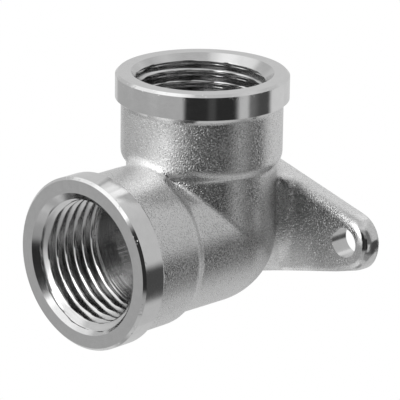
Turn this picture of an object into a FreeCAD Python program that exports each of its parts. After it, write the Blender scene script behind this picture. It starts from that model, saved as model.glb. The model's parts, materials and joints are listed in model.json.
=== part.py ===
import FreeCAD, Part
import math
import os

import Sketcher

# Wall plate elbow: a forged brass 90 degree elbow with two threaded sockets and a two-eared wall plate.
# Frame: millimetres, +Z up. The origin is on the wall face of the plate, on the axis of the tap socket.
# The tap socket opens towards -Y, the pipe socket opens towards +Z and the wall lies on the +Y side.
# The features are drawn about the point where the two socket axes cross, and the body is then moved
# so that the wall face lies at Y = 0.

NODE = "elbow_body"
TOUCH = 0.001    # how near a point counts as lying on a plane or an edge, in millimetres

# Driving dimensions: millimetres, and degrees for the draft
SIZES = [
    ("thread_bore_radius", 9.3155, "tapping bore, at the crests of the thread"),
    ("mouth_flare", 1.5545, "countersink at each mouth, wider than the bore all round"),
    ("tube_wall", 2.3345, "wall of the ball at the corner"),
    ("neck_step", 0.7, "forged socket behind the rim, proud of the ball"),
    ("rim_step", 0.9, "turned rim round each mouth, proud of the forged socket"),
    ("pipe_reach", 24.9, "pipe socket face above the tap axis"),
    ("tap_reach", 25.2, "tap socket face in front of the pipe axis"),
    ("rim_width", 3.95, "turned rim, along the socket"),
    ("rim_edge", 0.3, "chamfer on the rim's outer edge"),
    ("neck_root", 0.4, "cone under the rim"),
    ("crotch_depth", 1.05, "shoulder behind each socket, below the inner corner where the sockets meet"),
    ("shoulder_round", 0.6, "rounding of the shoulder's outer edge"),
    ("crotch_round", 1.4, "fillet in the inner corner between the two sockets"),
    ("notch_round", 1.0, "rounding where the two shoulders run together"),
    ("tube_draft", 1.0, "forging draft of the tubes between ball and shoulders"),
    ("mitre_round", 0.9, "fillet along the crease between the two tubes"),
    ("wall_clearance", 2.15, "wall face behind the ball"),
    ("plate_thickness", 3.2, "wall plate"),
    ("plate_inset", 1.95, "round middle of the wall plate, inside the ball's outline"),
    ("ear_radius", 4.3, "rounded end of each ear"),
    ("plate_edge", 0.7, "chamfer on the plate's front edge"),
    ("plate_root", 1.2, "fillet between the plate and the elbow"),
    ("screw_spacing", 40.0, "between the two screw holes"),
    ("screw_hole_radius", 2.35, "screw hole in each ear"),
]

# Sizes that follow from these, as expressions on the sheet's names in square brackets
BALL = "([thread_bore_radius] + [tube_wall])"
NECK = f"({BALL} + [neck_step])"
RIM = f"({NECK} + [rim_step])"
MOUTH = "([thread_bore_radius] + [mouth_flare])"
SHOULDER = f"({NECK} - [crotch_depth])"
WALL = f"({BALL} + [wall_clearance])"
PLATE = f"({BALL} - [plate_inset])"

doc = FreeCAD.newDocument("wall_plate_elbow")
sheet = doc.addObject("Spreadsheet::Sheet", "sizes")
for row, (name, number, note) in enumerate(SIZES, start=1):
    sheet.set(f"A{row}", note)
    sheet.set(f"B{row}", str(number))
    sheet.setAlias(f"B{row}", name)
doc.recompute()

body = doc.addObject("PartDesign::Body", NODE)
body.Label = NODE


def size(name):
    """A driving dimension as a number."""
    return float(sheet.get(name))


def bound(text):
    """An expression on the sheet's cells, from one that has their names in square brackets."""
    for name, _, _ in SIZES:
        text = text.replace(f"[{name}]", f"sizes.{name}")
    return text


def number_of(text):
    """What an expression on the sheet's names is worth now."""
    result = sheet.evalExpression(bound(text))
    return float(getattr(result, "Value", result))


def origin_plane(role):
    return next(item for item in body.Origin.OriginFeatures if item.Role == role)


def new_sketch(name, role, turn=0.0):
    """A sketch on one of the body's own planes, turned about that plane's normal."""
    sketch = body.newObject("Sketcher::SketchObject", name)
    sketch.AttachmentSupport = [(origin_plane(role), "")]
    sketch.MapMode = "FlatFace"
    sketch.AttachmentOffset = FreeCAD.Placement(
        FreeCAD.Vector(), FreeCAD.Rotation(FreeCAD.Vector(0, 0, 1), turn))
    return sketch


def hold(sketch, kind, *where, to):
    """Adds one dimension to a sketch and binds it to the sheet."""
    index = sketch.addConstraint(Sketcher.Constraint(kind, *where, number_of(to)))
    sketch.setExpression(f"Constraints[{index}]", bound(to))


def outline(sketch, corners):
    """A closed run of straight lines whose corners are expressions on the sheet's names."""
    points = [FreeCAD.Vector(number_of(x), number_of(y), 0) for x, y in corners]
    ends = points[1:] + points[:1]
    lines = [sketch.addGeometry(Part.LineSegment(a, b), False) for a, b in zip(points, ends)]
    for line, following, (x, y) in zip(lines, lines[1:] + lines[:1], corners[1:] + corners[:1]):
        sketch.addConstraint(Sketcher.Constraint("Coincident", line, 2, following, 1))
        hold(sketch, "DistanceX", -1, 1, following, 1, to=x)
        hold(sketch, "DistanceY", -1, 1, following, 1, to=y)


def revolved(kind, name, corners, turn):
    """A profile of radius and distance along the axis, turned about a socket's axis."""
    sketch = new_sketch(f"{name}_profile", "YZ_Plane", turn)
    outline(sketch, corners)
    feature = body.newObject(kind, name)
    feature.Profile = sketch
    feature.ReferenceAxis = (sketch, ["V_Axis"])
    feature.Angle = 360
    doc.recompute()


def points_along(edge, parts=8):
    first, last = edge.FirstParameter, edge.LastParameter
    return [edge.valueAt(first + (last - first) * step / parts) for step in range(parts + 1)]


def eased(kind, name, measure, wanted):
    """A fillet or chamfer on every edge of the present shape whose points all pass the test."""
    base = body.Tip
    names = []
    for index, edge in enumerate(base.Shape.Edges, start=1):
        if edge.Length > TOUCH and wanted(points_along(edge)):
            names.append(f"Edge{index}")
    feature = body.newObject(kind, name)
    feature.Base = (base, names)
    feature.setExpression(measure[0], f"sizes.{measure[1]}")
    doc.recompute()


# The two sockets are alike: one frame for the pipe, turned a quarter about X for the tap
SOCKETS = [("pipe", 0.0), ("tap", 90.0)]


def in_crotch(points):
    """On the plane in which two equal bars at right angles meet, on the side where both stand out."""
    return all(abs(p.y + p.z) < TOUCH for p in points) and max(p.z for p in points) > TOUCH


def add_necks():
    for which, turn in SOCKETS:
        reach = f"[{which}_reach]"
        revolved("PartDesign::Revolution", f"{which}_neck", [
            ("0", "0"),
            (NECK, "0"),
            (NECK, f"{reach} - [rim_width] - [neck_root]"),
            (f"{NECK} + [neck_root]", f"{reach} - [rim_width]"),
            (RIM, f"{reach} - [rim_width]"),
            (RIM, f"{reach} - [rim_edge]"),
            (f"{RIM} - [rim_edge]", reach),
            ("0", reach),
        ], turn)
    eased("PartDesign::Fillet", "crotch_fillet", ("Radius", "crotch_round"), in_crotch)


def add_shoulders():
    """Cuts away the corner behind both shoulders, so that the sockets stand proud of the tubes."""
    sketch = new_sketch("shoulder_profile", "YZ_Plane")
    clear = f"2 * {NECK}"
    outline(sketch, [
        (f"-{SHOULDER}", SHOULDER),
        (f"-{SHOULDER}", f"-{clear}"),
        (clear, f"-{clear}"),
        (clear, SHOULDER),
    ])
    pocket = body.newObject("PartDesign::Pocket", "shoulders")
    pocket.Profile = sketch
    pocket.Type = "ThroughAll"
    pocket.SideType = "Symmetric"
    doc.recompute()

    level = number_of(SHOULDER)

    def notch_corner(points):
        return all(abs(p.z - level) < TOUCH and abs(p.y + level) < TOUCH for p in points)

    eased("PartDesign::Fillet", "notch_fillet", ("Radius", "notch_round"), notch_corner)

    def shoulder_rim(points):
        """The outer edge of the cut: on its faces, and not one of the straight lines between them."""
        straight = all(abs(p.y - points[0].y) < TOUCH and abs(p.z - points[0].z) < TOUCH for p in points)
        turn = size("notch_round")
        middle = level - turn

        def on_cut(p):
            across = max(0.0, -middle - p.y)
            up = max(0.0, p.z - middle)
            return abs(math.hypot(across, up) - turn) < TOUCH

        return not straight and all(on_cut(p) for p in points)

    eased("PartDesign::Fillet", "shoulder_fillet", ("Radius", "shoulder_round"), shoulder_rim)


def seam_in_crotch():
    """Turns a ball so that its poles and seam lie inside the sockets and its outer side is one clean face."""
    seam = FreeCAD.Vector(0, -1, 1)
    across = FreeCAD.Vector(1, 0, 0)
    pole = FreeCAD.Vector(0, 1, 1)
    return FreeCAD.Placement(FreeCAD.Vector(), FreeCAD.Rotation(seam, across, pole, "ZXY"))


def add_tubes():
    """The ball at the corner, and a drafted tube from it into each socket."""
    ball = body.newObject("PartDesign::AdditiveSphere", "ball")
    ball.setExpression("Radius", bound(BALL))
    ball.Placement = seam_in_crotch()
    doc.recompute()
    foot = f"{BALL} * sin([tube_draft])"
    end = f"({SHOULDER} + [crotch_round])"
    for which, turn in SOCKETS:
        revolved("PartDesign::Revolution", f"{which}_tube", [
            ("0", foot),
            (f"{BALL} * cos([tube_draft])", foot),
            (f"{BALL} * cos([tube_draft]) - ({end} - {foot}) * tan([tube_draft])", end),
            ("0", end),
        ], turn)
    eased("PartDesign::Fillet", "mitre_fillet", ("Radius", "mitre_round"), in_crotch)


def ear_slope():
    """Angle of the plate's straight edges, which touch the middle circle and an ear."""
    return math.asin((number_of(PLATE) - size("ear_radius")) / (size("screw_spacing") / 2))


def plate_sketch():
    """Two ears and a round middle, joined by straight edges that touch both."""
    sketch = new_sketch("plate_outline", "XZ_Plane")
    sketch.setExpression("AttachmentOffset.Base.z", bound(f"-{WALL}"))
    slope = ear_slope()
    ear_x = size("screw_spacing") / 2
    across = FreeCAD.Vector(0, 0, 1)

    def arc(x, radius, start, end):
        circle = Part.Circle(FreeCAD.Vector(x, 0, 0), across, radius)
        return sketch.addGeometry(Part.ArcOfCircle(circle, start, end), False)

    up = math.pi / 2 - slope
    middle = number_of(PLATE)
    ear = size("ear_radius")
    right_ear = arc(ear_x, ear, -up, up)
    top = arc(0, middle, up, math.pi - up)
    left_ear = arc(-ear_x, ear, math.pi - up, math.pi + up)
    bottom = arc(0, middle, math.pi + up, 2 * math.pi - up)
    arcs = [right_ear, top, left_ear, bottom]
    for here, following in zip(arcs, arcs[1:] + arcs[:1]):
        start = sketch.getPoint(here, 2)
        end = sketch.getPoint(following, 1)
        line = sketch.addGeometry(Part.LineSegment(start, end), False)
        sketch.addConstraint(Sketcher.Constraint("Tangent", here, 2, line, 1))
        sketch.addConstraint(Sketcher.Constraint("Tangent", line, 2, following, 1))
    for piece in (top, bottom):
        sketch.addConstraint(Sketcher.Constraint("Coincident", piece, 3, -1, 1))
        hold(sketch, "Radius", piece, to=PLATE)
    for piece, place in ((right_ear, "[screw_spacing] / 2"), (left_ear, "-[screw_spacing] / 2")):
        sketch.addConstraint(Sketcher.Constraint("PointOnObject", piece, 3, -1))
        hold(sketch, "DistanceX", -1, 1, piece, 3, to=place)
        hold(sketch, "Radius", piece, to="[ear_radius]")
    return sketch


def outside_plate(p):
    """How far a point lies outside the plate's outline; negative inside it."""
    slope = ear_slope()
    middle = number_of(PLATE)
    x, z = abs(p.x), abs(p.z)
    ear_x = size("screw_spacing") / 2
    step = x * math.cos(slope) - z * math.sin(slope)
    if step < 0:
        return math.hypot(x, z) - middle
    if step > ear_x * math.cos(slope):
        return math.hypot(x - ear_x, z) - size("ear_radius")
    return x * math.sin(slope) + z * math.cos(slope) - middle


def add_plate():
    pad = body.newObject("PartDesign::Pad", "plate")
    pad.Profile = plate_sketch()
    pad.setExpression("Length", "sizes.plate_thickness")
    doc.recompute()
    front = number_of(WALL) - size("plate_thickness")
    ball = number_of(BALL)
    draft = math.radians(size("tube_draft"))

    def on_front(p):
        return abs(p.y - front) < TOUCH

    def on_edge(p):
        return abs(outside_plate(p)) < TOUCH

    def on_elbow(p):
        """On the ball, or on the pipe tube that stands on it."""
        foot = ball * math.sin(draft)
        if p.z < foot:
            return abs(p.Length - ball) < TOUCH
        radius = ball * math.cos(draft) - (p.z - foot) * math.tan(draft)
        return abs(math.hypot(p.x, p.y) - radius) < TOUCH

    def front_outline(points):
        return all(on_front(p) and on_edge(p) for p in points)

    def root(points):
        return all(on_elbow(p) and (on_front(p) or on_edge(p)) for p in points)

    eased("PartDesign::Fillet", "plate_root_fillet", ("Radius", "plate_root"), root)
    eased("PartDesign::Chamfer", "plate_edge_chamfer", ("Size", "plate_edge"), front_outline)


def add_bores():
    """Tapping bores from the mouths to the corner, countersunk at 45 degrees, and a round corner inside."""
    for which, turn in SOCKETS:
        reach = f"[{which}_reach]"
        revolved("PartDesign::Groove", f"{which}_bore", [
            ("0", "0"),
            ("[thread_bore_radius]", "0"),
            ("[thread_bore_radius]", f"{reach} - [mouth_flare]"),
            (MOUTH, reach),
            ("0", reach),
        ], turn)
    corner = body.newObject("PartDesign::SubtractiveSphere", "waterway_corner")
    corner.setExpression("Radius", "sizes.thread_bore_radius")
    corner.Placement = seam_in_crotch()
    doc.recompute()


def add_screw_holes():
    sketch = new_sketch("screw_hole_circle", "XZ_Plane")
    sketch.setExpression("AttachmentOffset.Base.z", bound(f"-{WALL}"))
    centre = FreeCAD.Vector(size("screw_spacing") / 2, 0, 0)
    circle = Part.Circle(centre, FreeCAD.Vector(0, 0, 1), size("screw_hole_radius"))
    ring = sketch.addGeometry(circle, False)
    sketch.addConstraint(Sketcher.Constraint("PointOnObject", ring, 3, -1))
    hold(sketch, "DistanceX", -1, 1, ring, 3, to="[screw_spacing] / 2")
    hold(sketch, "Radius", ring, to="[screw_hole_radius]")
    hole = body.newObject("PartDesign::Pocket", "screw_hole")
    hole.Profile = sketch
    hole.Reversed = True
    hole.setExpression("Length", "sizes.plate_thickness")
    doc.recompute()
    pair = body.newObject("PartDesign::Mirrored", "screw_holes")
    pair.Originals = [hole]
    pair.MirrorPlane = (origin_plane("YZ_Plane"), [""])
    body.Tip = pair
    doc.recompute()


def check_and_write():
    """Stops on any failed object; then writes the one piece."""
    for item in doc.Objects:
        if "Invalid" in item.State or "Error" in item.State:
            raise RuntimeError(f"{item.Name} failed: {item.State}")
    shape = body.Shape
    if shape.isNull() or not shape.isValid() or len(shape.Solids) != 1:
        raise RuntimeError("the body is not one valid solid")
    os.makedirs("parts", exist_ok=True)
    shape.exportStep(f"parts/{body.Label}.step")
    print(body.Label, "volume", round(shape.Volume, 1), "box", shape.optimalBoundingBox())


add_necks()
add_shoulders()
add_tubes()
add_plate()
add_bores()
add_screw_holes()
body.setExpression("Placement.Base.y", bound(f"-{WALL}"))
doc.recompute()
check_and_write()
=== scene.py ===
import json
import math

import bpy
from mathutils import Matrix, Vector


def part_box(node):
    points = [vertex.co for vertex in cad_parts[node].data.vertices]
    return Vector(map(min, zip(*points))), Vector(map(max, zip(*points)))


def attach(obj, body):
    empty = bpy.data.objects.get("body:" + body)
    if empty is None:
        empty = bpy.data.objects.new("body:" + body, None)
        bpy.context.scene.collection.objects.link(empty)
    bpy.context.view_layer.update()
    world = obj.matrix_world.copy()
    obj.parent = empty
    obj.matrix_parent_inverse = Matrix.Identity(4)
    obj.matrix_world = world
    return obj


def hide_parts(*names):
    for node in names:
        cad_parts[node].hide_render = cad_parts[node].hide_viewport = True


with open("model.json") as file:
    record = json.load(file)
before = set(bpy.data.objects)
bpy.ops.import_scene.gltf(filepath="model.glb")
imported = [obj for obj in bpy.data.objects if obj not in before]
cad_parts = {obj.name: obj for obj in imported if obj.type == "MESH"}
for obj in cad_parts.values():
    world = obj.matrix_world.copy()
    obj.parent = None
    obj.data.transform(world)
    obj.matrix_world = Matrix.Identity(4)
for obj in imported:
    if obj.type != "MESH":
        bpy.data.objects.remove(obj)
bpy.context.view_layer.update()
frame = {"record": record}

# Wall plate elbow in nickel plated brass: a forged body with two turned and tapped sockets.
# Lengths are in millimetres until a mesh is finished; then it is brought to the frame's metres.
MM = 0.001
NODE = "elbow_body"

MOUNTS = {mount["name"]: mount for mount in frame["record"]["mounts"]}
LOW, HIGH = (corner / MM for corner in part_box(NODE))

# Sizes read from the frame
BORE_RADIUS = MOUNTS["tap_socket"]["dims"]["r_mm"]
SCREW_X = MOUNTS["screw_holes"]["dims"]["spacing_x_mm"] / 2
SCREW_HOLE_RADIUS = MOUNTS["screw_holes"]["dims"]["hole_r_mm"]
PIPE_Y = MOUNTS["pipe_socket"]["pos_m"][1] / MM
PIPE_REACH = HIGH.z
TAP_REACH = PIPE_Y - LOW.y
RIM_RADIUS = -LOW.z
EAR_RADIUS = HIGH.x - SCREW_X

# Forged body
NECK_RADIUS = 12.35
SHOULDER_TO_MOUTH = 14.1
SHOULDER_ROUND = 2.0
BALL_RADIUS = 11.65
TUBE_DRAFT = math.radians(1.0)
CROTCH_BLEND = 2.5
MITRE_BLEND = 1.7
SHOULDER_ROOT_BLEND = 0.5
PLATE_THICKNESS = 3.2
PLATE_RADIUS = 9.7
PLATE_EDGE_BLEND = 2.0
EAR_TIP_BLEND = 3.1
EAR_TIP_FROM = 17.5
EAR_TIP_TO = 21.5
PLATE_SLOPE = math.asin((PLATE_RADIUS - EAR_RADIUS) / SCREW_X)
PLATE_RAMP_END = 9.8
PLATE_RAMP_SLOPE = 0.45
PLATE_RAMP_BLEND = 0.5
PLATE_ROOT_BLEND = 0.6
EAR_DROOP_MIDDLE = 0.02
EAR_DROOP = 0.0003
PLATE_TOP_BLEND = 2.1
FORGING_VOXEL = 0.3
FORGING_MARGIN = 0.5
BACK_SPARE = 1.0

# Turned rims and mouths
RIM_WIDTH = 3.95
RIM_EDGE = 0.4
RIM_BACK_EDGE = 0.05
RIM_ROOT_STEP = 0.45
RIM_ROOT_LENGTH = 1.1
MOUTH_RADIUS = 10.87
LATHE_SEGMENTS = 192

# Half-inch pipe thread, 55 degree rounded form
PITCH = 1.814
GROOVE_RADIUS = 10.4775
THREAD_START = 0.48
THREAD_LENGTH = 12.4
THREAD_RUN_OUT = 1.5
THREAD_HALF_ANGLE = math.radians(27.5)
THREAD_ROUND = 0.3
THREAD_SEGMENTS = 96
THREAD_ROWS = 112
CUT_OVERLAP = 0.6
HOLE_OVERLAP = 1.0
HOLE_SEGMENTS = 96
CORNER_STEPS = 20

SHARP_ANGLE = math.radians(32.0)

# How far past a cut's own size its faces are looked for, to give them their finish
MOUTH_SLACK = 0.01
HOLE_SLACK = 0.02
CORNER_SLACK = 0.5

# Share of the cone behind a rim that is turned bright, and how deep the tap socket's turned zone goes
RIM_ROOT_SHARE = 0.6
TAP_RIM_ZONE = 6.0

# Nickel finishes
FORGED, TURNED, CUT = range(3)
FORGED_GREY = 0.79
FORGED_ROUGHNESS = 0.27
GRAIN_SCALE = 5.4
GRAIN_HEIGHT = 0.034
GRAIN_STRENGTH = 1.0
# Tone added to the forged skin's colour zone by zone: the positive ones are painted highlights, the negative
# ones painted shade; the worn edge's wear is in its grain.
FORGED_PAINTED_LIGHT_AND_SHADE = {
    "crease highlight": 0.20,
    "worn edge and highlight": 0.20,
    "plate root": 0.22,
    "lit ear foot": 0.24,
    "ear front": -0.12,
    "recess shade": -0.34,
    "corner": -0.16,
}
RIM_GREY = 0.80
RIM_ROUGHNESS = 0.10
BORE_GREY = 0.80
BORE_ROUGHNESS = 0.17

# Room: azimuth is measured in degrees from the tap's front towards +X, height from the horizon.
# Each panel has its edges (azimuths, heights, softness) and its light; later ones cover earlier ones.
TENT_LIGHT = 0.7
ROOM_PANELS = [
    ((-190, 190, 60, 95, 6), 0.58),
    ((-175, -112, -5, 32, 6), 0.62),
    ((-190, -125, 38, 58, 5), 0.92),
    ((-108, -76, -12, 50, 8), 0.56),
    ((-190, -112, -90, -15, 8), 0.60),
    ((-107, 20, -42, -14, 6), 0.355),
    ((20, 185, -90, -34, 6), 0.54),
    ((60, 140, -58, -34, 6), 0.28),
    ((5, 62, -50, -26, 6), 0.40),
    ((-58, -30, -30, -12, 6), 0.40),
    ((-190, 190, -95, -75, 6), 0.30),
    ((-62, -15, -12, 14, 6), 0.80),
    ((-42, -15, -6, 27, 4), 1.2),
    ((-80, -35, 32, 62, 6), 1.0),
    ((-48, 22, 28, 72, 6), 1.2),
    ((-20, 23, -6, 47, 7), 0.95),
    ((-12, 22, 5, 43, 6), 2.2),
    ((60, 176, -12, 46, 8), 0.57),
    ((60, 145, -38, -3, 5), 0.07),
    ((60, 120, -34, 42, 8), 0.16),
    ((92, 108, -30, -9, 3), 0.55),
    ((24, 91, -29, 46, 6), 0.38),
    ((24, 91, -29, 30, 6), 0.20),
    ((20, 90, -26, 14, 4), 0.027),
    ((52, 62, -26, 14, 3), 0.065),
    ((28, 60, -4, 33, 4), 0.03),
]

# Floor, in metres
FLOOR_GAP = 0.0005
FLOOR_HALF = 1.5

# Camera, fitted to the two rims
CAMERA_PLACE = Vector((316.429, -342.535, 153.068)) * MM
CAMERA_AZIMUTH = math.radians(43.921)
CAMERA_ELEVATION = math.radians(18.044)
CAMERA_ROLL = math.radians(0.852)
CAMERA_LENS = 282.0
CAMERA_SENSOR = 36.0


class Socket:
    """A node's output that takes part in sums: every operator adds one Math node."""

    def __init__(self, tree, link):
        self.tree = tree
        self.link = link

    def math(self, operation, *others):
        return self.tree.node("ShaderNodeMath", {"operation": operation}, self, *others)

    def output(self, name):
        """Another output of the same node."""
        found = next(item for item in self.link.node.outputs if item.name == name and item.enabled)
        return Socket(self.tree, found)

    def __add__(self, other):
        return self.math("ADD", other)

    __radd__ = __add__

    def __mul__(self, other):
        return self.math("MULTIPLY", other)

    __rmul__ = __mul__

    def __sub__(self, other):
        return self.math("SUBTRACT", other)

    def __rsub__(self, other):
        return self.tree.node("ShaderNodeMath", {"operation": "SUBTRACT"}, other, self)

    def __truediv__(self, other):
        return self.math("DIVIDE", other)

    def __pow__(self, other):
        return self.math("POWER", other)

    def __neg__(self):
        return self * -1.0

    def __abs__(self):
        return self.math("ABSOLUTE")

    def least(self, other, blend=None):
        if blend is None:
            return self.math("MINIMUM", other)
        return self.math("SMOOTH_MIN", other, blend)

    def most(self, other, blend=None):
        if blend is None:
            return self.math("MAXIMUM", other)
        return self.math("SMOOTH_MAX", other, blend)

    def between(self, low, high):
        """A soft step from 0 at low to 1 at high, and level past them; low may be the larger one."""
        return self.tree.node(
            "ShaderNodeMapRange", {"interpolation_type": "SMOOTHSTEP"},
            Value=self, From_Min=low, From_Max=high)


class Tree:
    """Adds nodes to a shader or geometry tree."""

    def __init__(self, tree):
        self.tree = tree

    def plug(self, slot, value):
        if isinstance(value, Socket):
            self.tree.links.new(value.link, slot)
        else:
            slot.default_value = value

    def node(self, kind, settings=None, *inputs, **named):
        """One node: its settings first, then its sockets in order or by name. Gives its first output."""
        made = self.tree.nodes.new(kind)
        for name, value in (settings or {}).items():
            setattr(made, name, value)
        for slot, value in zip(made.inputs, inputs):
            self.plug(slot, value)
        for name, value in named.items():
            words = name.replace("_", " ")
            slot = next(item for item in made.inputs if item.name == words and item.enabled)
            self.plug(slot, value)
        first = next((item for item in made.outputs if item.enabled), None)
        return Socket(self, first) if first else made

    def xyz(self, vector):
        """The three parts of a vector."""
        split = self.node("ShaderNodeSeparateXYZ", None, vector)
        return [split.output(name) for name in "XYZ"]


def hypot(a, b):
    return (a * a + b * b).math("SQRT")


# Geometry trees

def grown(name, sizes, build, material):
    """A plain mesh from a geometry tree with named inputs, made by build(tree, inputs)."""
    group = bpy.data.node_groups.new(name, "GeometryNodeTree")
    group.interface.new_socket("Geometry", in_out="OUTPUT", socket_type="NodeSocketGeometry")
    for label, value in sizes.items():
        kind = "NodeSocketInt" if isinstance(value, int) else "NodeSocketFloat"
        group.interface.new_socket(label, in_out="INPUT", socket_type=kind)
    tree = Tree(group)
    entry = tree.node("NodeGroupInput")
    shape = build(tree, {label: entry.output(label) for label in sizes})
    shape = tree.node("GeometryNodeRealizeInstances", None, shape)
    shape = tree.node("GeometryNodeSetMaterial", None, shape, Material=material)
    tree.node("NodeGroupOutput", None, shape)

    holder = bpy.data.objects.new(name, bpy.data.meshes.new(name))
    bpy.context.scene.collection.objects.link(holder)
    modifier = holder.modifiers.new(name, "NODES")
    modifier.node_group = group
    for item in group.interface.items_tree:
        if item.in_out == "INPUT":
            modifier[item.identifier] = sizes[item.name]
    mesh = bpy.data.meshes.new_from_object(holder.evaluated_get(bpy.context.evaluated_depsgraph_get()))
    bpy.data.objects.remove(holder)
    return mesh


def round_bar(along, across, start, end, radius, edge):
    """Distance to a round bar with rounded ends; along and across are measured from its axis."""
    over = across - (radius - edge)
    past = abs(along - (start + end) / 2) - ((end - start) / 2 - edge)
    outside = hypot(over.most(0.0), past.most(0.0))
    return over.most(past).least(0.0) + outside - edge


def forging_field(tree, size):
    """Distance to the forged body, before its rims, bores and wall face are cut."""
    x, y, z = tree.xyz(tree.node("GeometryNodeInputPosition"))
    side = abs(x)
    back = y - PIPE_Y
    front = -back
    from_pipe_axis = hypot(x, back)
    from_tap_axis = hypot(x, z)

    def fading(blend, radius):
        """Two equal bars touch at their sides, so the fillet between them fades out towards there."""
        return (1.0 - (x / radius) ** 2.0).most(0.02) * blend

    def neck(along, across, reach):
        start = reach - SHOULDER_TO_MOUTH
        return round_bar(along, across, start, reach - RIM_WIDTH / 2, size["Neck radius"], SHOULDER_ROUND)

    def tube(along, across):
        wall = across - size["Ball radius"] + along * math.tan(TUBE_DRAFT)
        return wall.most(-along).most(along - NECK_RADIUS)

    necks = neck(z, from_pipe_axis, PIPE_REACH).least(
        neck(front, from_tap_axis, TAP_REACH), fading(size["Crotch blend"], size["Neck radius"]))
    tubes = tube(z, from_pipe_axis).least(
        tube(front, from_tap_axis), fading(size["Mitre blend"], size["Ball radius"]))
    ball = hypot(from_pipe_axis, z) - size["Ball radius"]
    elbow = tubes.least(ball).least(necks, SHOULDER_ROOT_BLEND)

    slope_sine, slope_cosine = math.sin(PLATE_SLOPE), math.cos(PLATE_SLOPE)
    droop = 1.0 + EAR_DROOP_MIDDLE - side * side * EAR_DROOP
    level = z.most(0.0) + (-z).most(0.0) * droop
    step = side * slope_cosine - level * slope_sine
    middle = hypot(x, level) - PLATE_RADIUS
    ear = hypot(side - SCREW_X, level) - EAR_RADIUS
    edge = side * slope_sine + level * slope_cosine - PLATE_RADIUS
    in_ear = step.math("GREATER_THAN", SCREW_X * slope_cosine)
    in_middle = step.math("LESS_THAN", 0.0)
    outline = middle * in_middle + ear * in_ear + edge * (1.0 - in_middle - in_ear)
    ramp = (PLATE_RAMP_END - hypot(x, z.least(0.0))).most(0.0, PLATE_RAMP_BLEND) * PLATE_RAMP_SLOPE
    at_tip = side.between(EAR_TIP_FROM, EAR_TIP_TO)
    edge_blend = PLATE_EDGE_BLEND + at_tip * (EAR_TIP_BLEND - PLATE_EDGE_BLEND)
    plate = outline.most(-y - size["Plate thickness"] - ramp, edge_blend)
    root_blend = PLATE_ROOT_BLEND + outline.between(-2.0, 0.0) * PLATE_TOP_BLEND
    return elbow.least(plate, root_blend).most(y - BACK_SPARE)


def forged_body(material):
    """The forged body as one smooth skin."""
    low = Vector((LOW.x - FORGING_MARGIN, LOW.y, LOW.z - FORGING_MARGIN))
    high = Vector((HIGH.x + FORGING_MARGIN, BACK_SPARE + FORGING_MARGIN, HIGH.z))
    counts = [round(span / FORGING_VOXEL) + 1 for span in high - low]

    def build(tree, size):
        field = forging_field(tree, size)
        block = tree.node(
            "GeometryNodeVolumeCube", None, Density=-field, Background=-1.0, Min=low, Max=high,
            Resolution_X=counts[0], Resolution_Y=counts[1], Resolution_Z=counts[2])
        return tree.node("GeometryNodeVolumeToMesh", {"resolution_mode": "GRID"}, block, Threshold=0.0)

    sizes = {
        "Neck radius": NECK_RADIUS,
        "Ball radius": BALL_RADIUS,
        "Crotch blend": CROTCH_BLEND,
        "Mitre blend": MITRE_BLEND,
        "Plate thickness": PLATE_THICKNESS,
    }
    return grown("forged_body", sizes, build, material)


def thread_cut(material):
    """The space inside a tapped mouth: a countersink and a right-hand thread that runs out."""
    length = THREAD_LENGTH + 2 * CUT_OVERLAP

    def build(tree, size):
        rod = tree.node(
            "GeometryNodeMeshCylinder", {"fill_type": "NGON"}, Vertices=size["Segments"],
            Side_Segments=size["Rows"], Radius=1.0, Depth=length)
        x, y, z = tree.xyz(tree.node("GeometryNodeInputPosition"))
        turn = y.math("ARCTAN2", x) / math.tau
        depth = z + (length / 2 - CUT_OVERLAP)
        phase = ((depth - THREAD_START) / size["Pitch"] - turn).math("FRACT")
        wave = abs(phase * 2.0 - 1.0)
        bore, groove = size["Bore radius"], size["Groove radius"]
        flank = size["Pitch"] * (0.5 / math.tan(THREAD_HALF_ANGLE))
        cut = (groove + bore) * 0.5 + flank * (wave - 0.5)
        cut = cut.most(bore, THREAD_ROUND).least(groove, THREAD_ROUND)
        fade = 1.0 - depth.between(THREAD_LENGTH - THREAD_RUN_OUT, THREAD_LENGTH)
        wall = bore + (cut - bore) * fade
        wall = wall.most(size["Mouth radius"] - depth)
        place = tree.node(
            "ShaderNodeCombineXYZ", None, (turn * math.tau).math("COSINE") * wall,
            (turn * math.tau).math("SINE") * wall, depth)
        return tree.node("GeometryNodeSetPosition", None, rod, Position=place)

    sizes = {
        "Bore radius": BORE_RADIUS,
        "Groove radius": GROOVE_RADIUS,
        "Mouth radius": MOUTH_RADIUS,
        "Pitch": PITCH,
        "Segments": THREAD_SEGMENTS,
        "Rows": THREAD_ROWS,
    }
    return grown("thread_cut", sizes, build, material)


# Turned shapes

def lathe(name, profile, segments=LATHE_SEGMENTS):
    """A closed mesh from a profile of (radius, depth) that starts and ends on the axis."""
    rings = profile[1:-1]
    verts = [(0.0, 0.0, profile[0][1]), (0.0, 0.0, profile[-1][1])]
    for radius, depth in rings:
        for step in range(segments):
            angle = math.tau * step / segments
            verts.append((radius * math.cos(angle), radius * math.sin(angle), depth))
    faces = []
    for step in range(segments):
        after = (step + 1) % segments
        faces.append((0, 2 + after, 2 + step))
        last = 2 + (len(rings) - 1) * segments
        faces.append((1, last + step, last + after))
        for ring in range(len(rings) - 1):
            near, far = 2 + ring * segments, 2 + (ring + 1) * segments
            faces.append((near + step, near + after, far + after, far + step))
    mesh = bpy.data.meshes.new(name)
    mesh.from_pydata(verts, [], faces)
    return mesh


def arc(centre, radius, start, end, steps):
    """Points of a profile along an arc, in degrees from the radius direction towards depth."""
    angles = [math.radians(start + (end - start) * step / steps) for step in range(steps + 1)]
    return [(centre[0] + radius * math.cos(a), centre[1] + radius * math.sin(a)) for a in angles]


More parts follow.
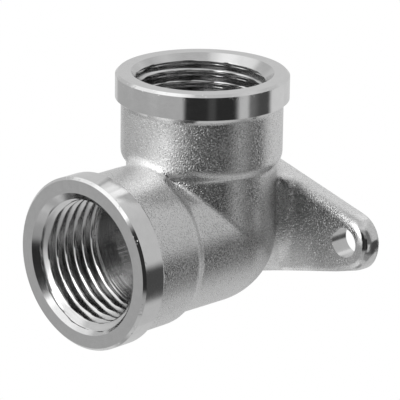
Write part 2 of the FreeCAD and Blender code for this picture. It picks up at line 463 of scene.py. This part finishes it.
def rim_profile():
    """The turned end of a socket, solid: face, broken edge, band and the concave cone behind it."""
    return [
        (0.0, 0.0),
        (RIM_RADIUS - RIM_EDGE, 0.0),
        (RIM_RADIUS, RIM_EDGE),
        (RIM_RADIUS, RIM_WIDTH - RIM_BACK_EDGE),
        (RIM_RADIUS - RIM_BACK_EDGE, RIM_WIDTH),
        (NECK_RADIUS + RIM_ROOT_STEP, RIM_WIDTH),
        (NECK_RADIUS + RIM_ROOT_STEP / 3, RIM_WIDTH + RIM_ROOT_LENGTH / 2),
        (NECK_RADIUS - RIM_BACK_EDGE, RIM_WIDTH + RIM_ROOT_LENGTH),
        (0.0, RIM_WIDTH + RIM_ROOT_LENGTH),
    ]


def bore_profile(reach, rounded):
    """The plain bore behind the thread, to the corner and round it."""
    start = THREAD_LENGTH + CUT_OVERLAP / 2
    if rounded:
        end = arc((0.0, reach), BORE_RADIUS, 0, 90, CORNER_STEPS)
    else:
        end = [(BORE_RADIUS, reach + CUT_OVERLAP), (0.0, reach + CUT_OVERLAP)]
    return [(0.0, start), (BORE_RADIUS, start), *end]


def screw_hole_profile():
    """A plain hole that starts before the plate's front and ends behind its back."""
    start, end = -HOLE_OVERLAP, PLATE_THICKNESS + HOLE_OVERLAP
    return [(0.0, start), (SCREW_HOLE_RADIUS, start), (SCREW_HOLE_RADIUS, end), (0.0, end)]


# Depth into a socket or a hole is the lathe's +Z; each place turns it to where it belongs
INTO_PIPE = Matrix.Translation((0.0, PIPE_Y, PIPE_REACH)) @ Matrix.Rotation(math.pi, 4, "X")
INTO_TAP = Matrix.Translation((0.0, LOW.y, 0.0)) @ Matrix.Rotation(-math.pi / 2, 4, "X")


def screw_place(x):
    return Matrix.Translation((x, -PLATE_THICKNESS, 0.0)) @ Matrix.Rotation(-math.pi / 2, 4, "X")


def wall_block():
    """What lies behind the wall face, to be cut off."""
    wide, deep = 2 * HIGH.x, 2 * BACK_SPARE
    verts = [(x, y, z) for x in (-wide, wide) for y in (0.0, deep) for z in (-wide, wide)]
    faces = [(0, 1, 3, 2), (4, 6, 7, 5), (0, 4, 5, 1), (2, 3, 7, 6), (0, 2, 6, 4), (1, 5, 7, 3)]
    mesh = bpy.data.meshes.new("wall_block")
    mesh.from_pydata(verts, [], faces)
    return mesh


def placed(mesh, place):
    """A copy of a mesh, put in its place."""
    copy = mesh.copy()
    copy.transform(place)
    return copy


# The finished piece

def joined(base, changes):
    """The base mesh with each (operation, mesh) of the changes carried out on it in turn."""
    piece = bpy.data.objects.new("elbow", base)
    bpy.context.scene.collection.objects.link(piece)
    tools = []
    for operation, mesh in changes:
        tool = bpy.data.objects.new("tool", mesh)
        bpy.context.scene.collection.objects.link(tool)
        step = piece.modifiers.new(operation.lower(), "BOOLEAN")
        step.operation = operation
        step.solver = "MANIFOLD"
        step.object = tool
        tools.append(tool)
    mesh = bpy.data.meshes.new_from_object(piece.evaluated_get(bpy.context.evaluated_depsgraph_get()))
    piece.modifiers.clear()
    piece.data = mesh
    for tool in tools:
        bpy.data.objects.remove(tool)
    return piece


def elbow_piece(material):
    """The whole elbow in metres: the forging with its rims joined and every cut made."""
    rim = lathe("rim", rim_profile())
    thread = thread_cut(material)
    hole = lathe("screw_hole", screw_hole_profile(), HOLE_SEGMENTS)
    changes = [
        ("UNION", placed(rim, INTO_PIPE)),
        ("UNION", placed(rim, INTO_TAP)),
        ("DIFFERENCE", placed(thread, INTO_PIPE)),
        ("DIFFERENCE", placed(thread, INTO_TAP)),
        ("DIFFERENCE", placed(lathe("pipe_bore", bore_profile(PIPE_REACH, False)), INTO_PIPE)),
        ("DIFFERENCE", placed(lathe("tap_bore", bore_profile(TAP_REACH, True)), INTO_TAP)),
        ("DIFFERENCE", placed(hole, screw_place(SCREW_X))),
        ("DIFFERENCE", placed(hole, screw_place(-SCREW_X))),
        ("DIFFERENCE", wall_block()),
    ]
    piece = joined(forged_body(material), changes)
    piece.data.transform(Matrix.Scale(MM, 4))
    return piece


# Nickel finishes. Patterns are laid out in the part's own coordinates, in millimetres

def part_place(tree):
    """The part's own coordinates in millimetres, as a vector and as its three parts."""
    coordinates = tree.node("ShaderNodeTexCoord").output("Object")
    place = tree.node("ShaderNodeVectorMath", {"operation": "SCALE"}, coordinates, Scale=1 / MM)
    return place, tree.xyz(place)


def noise(tree, place, scale, detail=2.0, roughness=0.5):
    return tree.node(
        "ShaderNodeTexNoise", None, Vector=place, Scale=scale, Detail=detail, Roughness=roughness)


def rings(tree, along, scale, detail=2.0):
    """Noise along one line only, for marks that run round a turned part."""
    return tree.node(
        "ShaderNodeTexNoise", {"noise_dimensions": "1D"}, W=along, Scale=scale, Detail=detail, Roughness=0.6)


def nickel(name, paint):
    """A nickel plate material; paint(tree) gives what varies over it."""
    material = bpy.data.materials.new(name)
    material.use_nodes = True
    material.node_tree.nodes.clear()
    tree = Tree(material.node_tree)
    shader = tree.node("ShaderNodeBsdfPrincipled", None, Metallic=1.0, **paint(tree))
    tree.node("ShaderNodeOutputMaterial", None, Surface=shader)
    return material


def grey(tree, value):
    return tree.node("ShaderNodeCombineColor", None, value, value, value)


def forged_zones(x, y, z):
    """Masks of the places where the forged skin looks different, in millimetres of the part; most carry
    painted highlights or painted shade.
    """
    side = abs(x)
    before_wall = y.between(-1.4, -2.4)
    under_edge = PLATE_RADIUS - side * math.sin(PLATE_SLOPE) - z * math.cos(PLATE_SLOPE)
    ear_tip = side.between(20.0, 23.0) * y.between(-0.05, -0.4)
    # The ear's front face: coarser grain, and a darker colour that is painted shade.
    ear_front = y.between(-4.4, -3.4) * before_wall * side.between(8.0, 10.0) * (1.0 - ear_tip)
    front_edge = under_edge.between(1.5, 0.9) * y.between(-2.2, -2.7) * y.between(-4.6, -3.6)
    root_strip = side.between(7.0, 7.6) * side.between(9.6, 8.6) * under_edge.between(1.0, 2.0)
    tube_side = side.between(6.0, 9.5) * y.between(-14.0, -8.5) * y.between(-4.4, -5.2)
    corner_shade_band = z.between(-5.5, -2.0) * z.between(4.0, 1.0) * y.between(-9.0, -13.0)
    return {
        "ear tip": ear_tip,
        "ear front": ear_front,
        # Painted light: the lower, inner part of the ear's front is made lighter.
        "lit ear foot": ear_front * z.between(3.0, -2.0) * side.between(15.5, 12.0),
        # Along the ear's upper front edge: coarser grain for wear, and a lighter colour that is a painted
        # highlight.
        "worn edge and highlight": front_edge * side.between(10.0, 12.5) * side.between(20.0, 17.5),
        # A painted highlight: the strip where the plate rises from the body is made lighter.
        "plate root": root_strip * y.between(-5.2, -4.6) * before_wall,
        # Painted shade on the body's sides just in front of the plate's root.
        "recess shade": tube_side * z.between(11.0, 9.5),
        # A painted highlight along the crotch where the two sockets' shoulders meet.
        "crease highlight": abs(z + y - PIPE_Y).between(1.8, 0.5) * z.between(8.0, 9.5),
        # Painted shade on the body's widest flanks, level with the tap's axis.
        "corner": corner_shade_band * side.between(8.5, 10.5),
    }


def forged_skin(tree):
    """Shot-blasted and plated: fine sparkling grain, with soft patches where it is rubbed smoother. Set
    zones add painted highlights and painted shade to its colour.
    """
    place, (x, y, z) = part_place(tree)
    zones = forged_zones(x, y, z)
    grain = noise(tree, place, GRAIN_SCALE, 1.0, 0.5)
    dents = noise(tree, place, GRAIN_SCALE * 0.8, 0.0).between(0.52, 0.78)
    patches = noise(tree, place, 0.22, 3.0, 0.6)
    speckle = noise(tree, place, GRAIN_SCALE * 1.1, 1.0)
    coarse = 1.0 + zones["ear front"] * 0.6 + zones["worn edge and highlight"] * 4.0 - zones["ear tip"] * 0.9
    height = (grain * 0.75 - dents * 0.8) * coarse
    bump = tree.node(
        "ShaderNodeBump", None, Strength=GRAIN_STRENGTH, Distance=GRAIN_HEIGHT * MM, Height=height)
    shade = FORGED_GREY + (patches - 0.5) * 0.12 + (speckle - 0.5) * (0.45 + zones["ear front"] * 0.15)
    # Painted highlights and painted shade, zone by zone
    for zone, change in FORGED_PAINTED_LIGHT_AND_SHADE.items():
        shade = shade + zones[zone] * change
    rough = FORGED_ROUGHNESS + (patches - 0.5) * 0.16 + (speckle - 0.5) * 0.5
    return {
        "Base_Color": grey(tree, shade),
        "Roughness": rough * (1.0 - zones["ear tip"] * 0.7),
        "Normal": bump,
    }


def turned_place(tree):
    """Radius and depth at whichever socket a turned surface belongs to."""
    place, (x, y, z) = part_place(tree)
    at_tap = y.math("LESS_THAN", LOW.y + TAP_RIM_ZONE)
    at_pipe = 1.0 - at_tap
    radius = hypot(x, y - PIPE_Y) * at_pipe + hypot(x, z) * at_tap
    depth = (PIPE_REACH - z) * at_pipe + (y - LOW.y) * at_tap
    return place, radius, depth


def turned_rim(tree):
    """Bright turned metal with fine rings and a few soft wear patches."""
    place, radius, depth = turned_place(tree)
    lines = rings(tree, radius + depth * 1.7, 7.0, 3.0)
    wear = noise(tree, place, 0.8, 3.0, 0.6)
    edge = radius.between(RIM_RADIUS - 0.5, RIM_RADIUS - 0.3) * depth.between(1.0, 0.4)
    nicks = noise(tree, place, 1.1, 2.0).between(0.60, 0.68) * edge
    height = lines + wear * 2.0 - nicks * 14.0
    bump = tree.node("ShaderNodeBump", None, Strength=0.35, Distance=0.004 * MM, Height=height)
    return {
        "Base_Color": grey(tree, RIM_GREY + (wear - 0.5) * 0.10 + (lines - 0.5) * 0.08),
        "Roughness": RIM_ROUGHNESS + (wear - 0.5) * 0.10,
        "Normal": bump,
    }


def tapped_bore(tree):
    """Cut thread and bored waterway: bright metal with tool marks that run round it. The plain bore's colour
    holds painted shade high up, and painted light and painted highlight streaks low down.
    """
    place, (x, y, z) = part_place(tree)
    at_tap = y.math("LESS_THAN", PIPE_Y - BORE_RADIUS)
    depth = (PIPE_REACH - z) * (1.0 - at_tap) + (y - LOW.y) * at_tap
    plain = depth.between(THREAD_LENGTH - 0.6, THREAD_LENGTH + 0.4) * abs(x).between(14.0, 12.0)
    lines = rings(tree, depth, 5.0, 3.0) * (0.1 + plain * 1.8)
    # Painted shade high in the plain bore, and painted light low in it.
    bore_shade_and_light = 1.0 - plain * (z.between(-5.5, 0.5) * 0.72 - z.between(-1.0, -5.0) * 0.25)
    # Painted highlight streaks along the tool marks, low in the plain bore.
    highlight_streaks = 1.0 + (rings(tree, depth, 4.0, 3.0) - 0.45) * plain * z.between(-1.0, -4.5) * 2.6
    wear = noise(tree, place, 0.6, 3.0, 0.6)
    shade = BORE_GREY - (1.0 - plain) * 0.10 + (wear - 0.5) * 0.12
    bump = tree.node("ShaderNodeBump", None, Strength=1.0, Distance=0.025 * MM, Height=lines)
    return {
        "Base_Color": grey(tree, (shade * bore_shade_and_light * highlight_streaks).least(1.0)),
        "Roughness": BORE_ROUGHNESS + (wear - 0.5) * 0.12,
        "Normal": bump,
    }


def dress(piece):
    """Gives each face the finish of its zone: forged skin, turned rim, or cut bore and holes."""
    finishes = [nickel("forged_nickel", forged_skin), nickel("turned_nickel", turned_rim),
                nickel("cut_nickel", tapped_bore)]
    piece.data.materials.clear()
    for finish in finishes:
        piece.data.materials.append(finish)
    for face in piece.data.polygons:
        x, y, z = face.center / MM
        back = y - PIPE_Y
        from_pipe, from_tap = math.hypot(x, back), math.hypot(x, z)
        in_pipe = z > 0 and from_pipe < MOUTH_RADIUS + MOUTH_SLACK
        in_tap = back < 0 and from_tap < MOUTH_RADIUS + MOUTH_SLACK
        in_corner = math.hypot(from_pipe, z) < BORE_RADIUS + CORNER_SLACK
        in_hole = math.hypot(abs(x) - SCREW_X, z) < SCREW_HOLE_RADIUS + HOLE_SLACK
        rim_depth = min(PIPE_REACH - z, y - LOW.y)
        if in_pipe or in_tap or in_corner or in_hole:
            face.material_index = CUT
        elif rim_depth < RIM_WIDTH + RIM_ROOT_LENGTH * RIM_ROOT_SHARE:
            face.material_index = TURNED
        else:
            face.material_index = FORGED
    piece.data.shade_smooth()
    piece.data.set_sharp_from_angle(angle=SHARP_ANGLE)


def make_camera():
    """The camera at the photo's angle."""
    data = bpy.data.cameras.new("camera")
    data.lens = CAMERA_LENS
    data.sensor_width = CAMERA_SENSOR
    back = Vector((
        math.sin(CAMERA_AZIMUTH) * math.cos(CAMERA_ELEVATION),
        -math.cos(CAMERA_AZIMUTH) * math.cos(CAMERA_ELEVATION),
        math.sin(CAMERA_ELEVATION)))
    right = Vector((math.cos(CAMERA_AZIMUTH), math.sin(CAMERA_AZIMUTH), 0.0))
    up = back.cross(right)
    rolled_right = right * math.cos(CAMERA_ROLL) + up * math.sin(CAMERA_ROLL)
    rolled_up = up * math.cos(CAMERA_ROLL) - right * math.sin(CAMERA_ROLL)
    turn = Matrix((rolled_right, rolled_up, back)).transposed().to_4x4()
    camera = bpy.data.objects.new("camera", data)
    camera.matrix_world = Matrix.Translation(CAMERA_PLACE) @ turn
    bpy.context.scene.collection.objects.link(camera)
    bpy.context.scene.camera = camera


def make_floor():
    """A white light table under the part; the light that metal mirrors comes from the room below."""
    level = LOW.z * MM - FLOOR_GAP
    corners = [(-FLOOR_HALF, -FLOOR_HALF), (FLOOR_HALF, -FLOOR_HALF), (FLOOR_HALF, FLOOR_HALF),
               (-FLOOR_HALF, FLOOR_HALF)]
    mesh = bpy.data.meshes.new("floor")
    mesh.from_pydata([(x, y, level) for x, y in corners], [], [(0, 1, 2, 3)])
    material = bpy.data.materials.new("light_table")
    material.use_nodes = True
    material.node_tree.nodes.clear()
    tree = Tree(material.node_tree)
    glow = tree.node("ShaderNodeEmission", None, Color=(1.0, 1.0, 1.0, 1.0), Strength=1.0)
    tree.node("ShaderNodeOutputMaterial", None, Surface=glow)
    mesh.materials.append(material)
    floor = bpy.data.objects.new("floor", mesh)
    bpy.context.scene.collection.objects.link(floor)
    floor.visible_glossy = False
    floor.visible_diffuse = False


def make_room():
    """A white tent, dark where the camera stands, with a softbox in front of the tap socket."""
    world = bpy.data.worlds.new("studio")
    world.use_nodes = True
    world.node_tree.nodes.clear()
    tree = Tree(world.node_tree)
    x, y, z = tree.xyz(tree.node("ShaderNodeTexCoord").output("Generated"))
    azimuth = x.math("ARCTAN2", -y) * (180 / math.pi)
    height = z.math("ARCSINE") * (180 / math.pi)

    def panel(from_azimuth, to_azimuth, from_height, to_height, soft):
        """1 inside a window of the room, given in degrees, and 0 outside it."""
        across = azimuth.between(from_azimuth - soft, from_azimuth + soft) \
            * (1.0 - azimuth.between(to_azimuth - soft, to_azimuth + soft))
        up = height.between(from_height - soft, from_height + soft) \
            * (1.0 - height.between(to_height - soft, to_height + soft))
        return across * up

    light = TENT_LIGHT
    for edges, level in ROOM_PANELS:
        light = light + panel(*edges) * (level - light)
    seen = tree.node("ShaderNodeLightPath").output("Is Camera Ray")
    light = light + seen * (1.0 - light)
    back = tree.node("ShaderNodeBackground", None, Color=grey(tree, light), Strength=1.0)
    tree.node("ShaderNodeOutputWorld", None, Surface=back)
    bpy.context.scene.world = world


piece = elbow_piece(bpy.data.materials.new("blank"))
dress(piece)
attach(piece, "root")
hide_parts(NODE)
make_camera()
make_floor()
make_room()
bpy.context.scene.view_settings.view_transform = "Standard"
